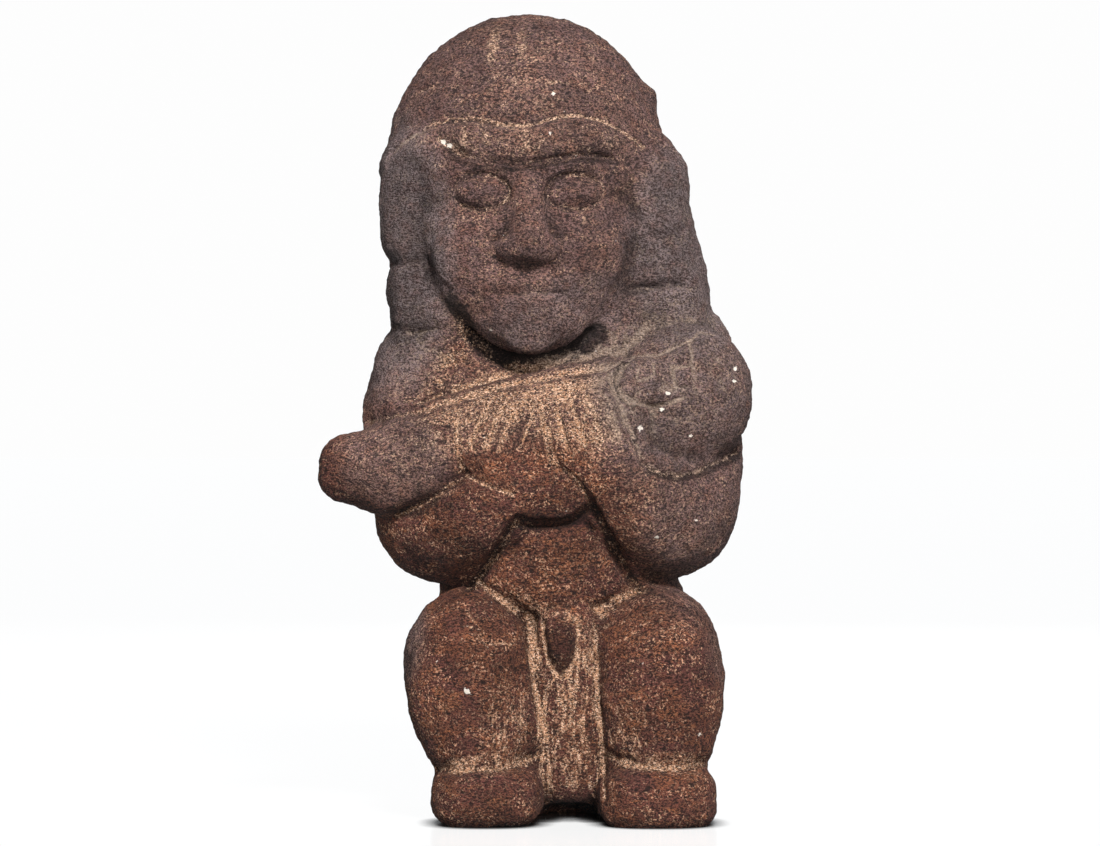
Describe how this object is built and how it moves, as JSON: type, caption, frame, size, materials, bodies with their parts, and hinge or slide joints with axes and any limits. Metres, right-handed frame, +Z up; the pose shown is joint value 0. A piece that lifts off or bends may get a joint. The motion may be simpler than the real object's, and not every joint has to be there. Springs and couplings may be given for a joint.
{
  "type": "carved stone figure",
  "caption": "Squatting carved stone figure in a domed cap and headband, holding an animal across its chest.",
  "frame": {"origin": "middle of the figure's box at its underside, on the floor it stands on", "axes": "+Z up the figure, -Y the way it looks, +X to the right of a viewer who faces it"},
  "size_m": [0.2668, 0.1848, 0.4999],
  "materials": {
    "stone": "dull, porous reddish-brown volcanic stone, worn, with pale deposit in the hollows"
  },
  "bodies": {
    "root": {"figure": "stone"}
  },
  "joints": []
}
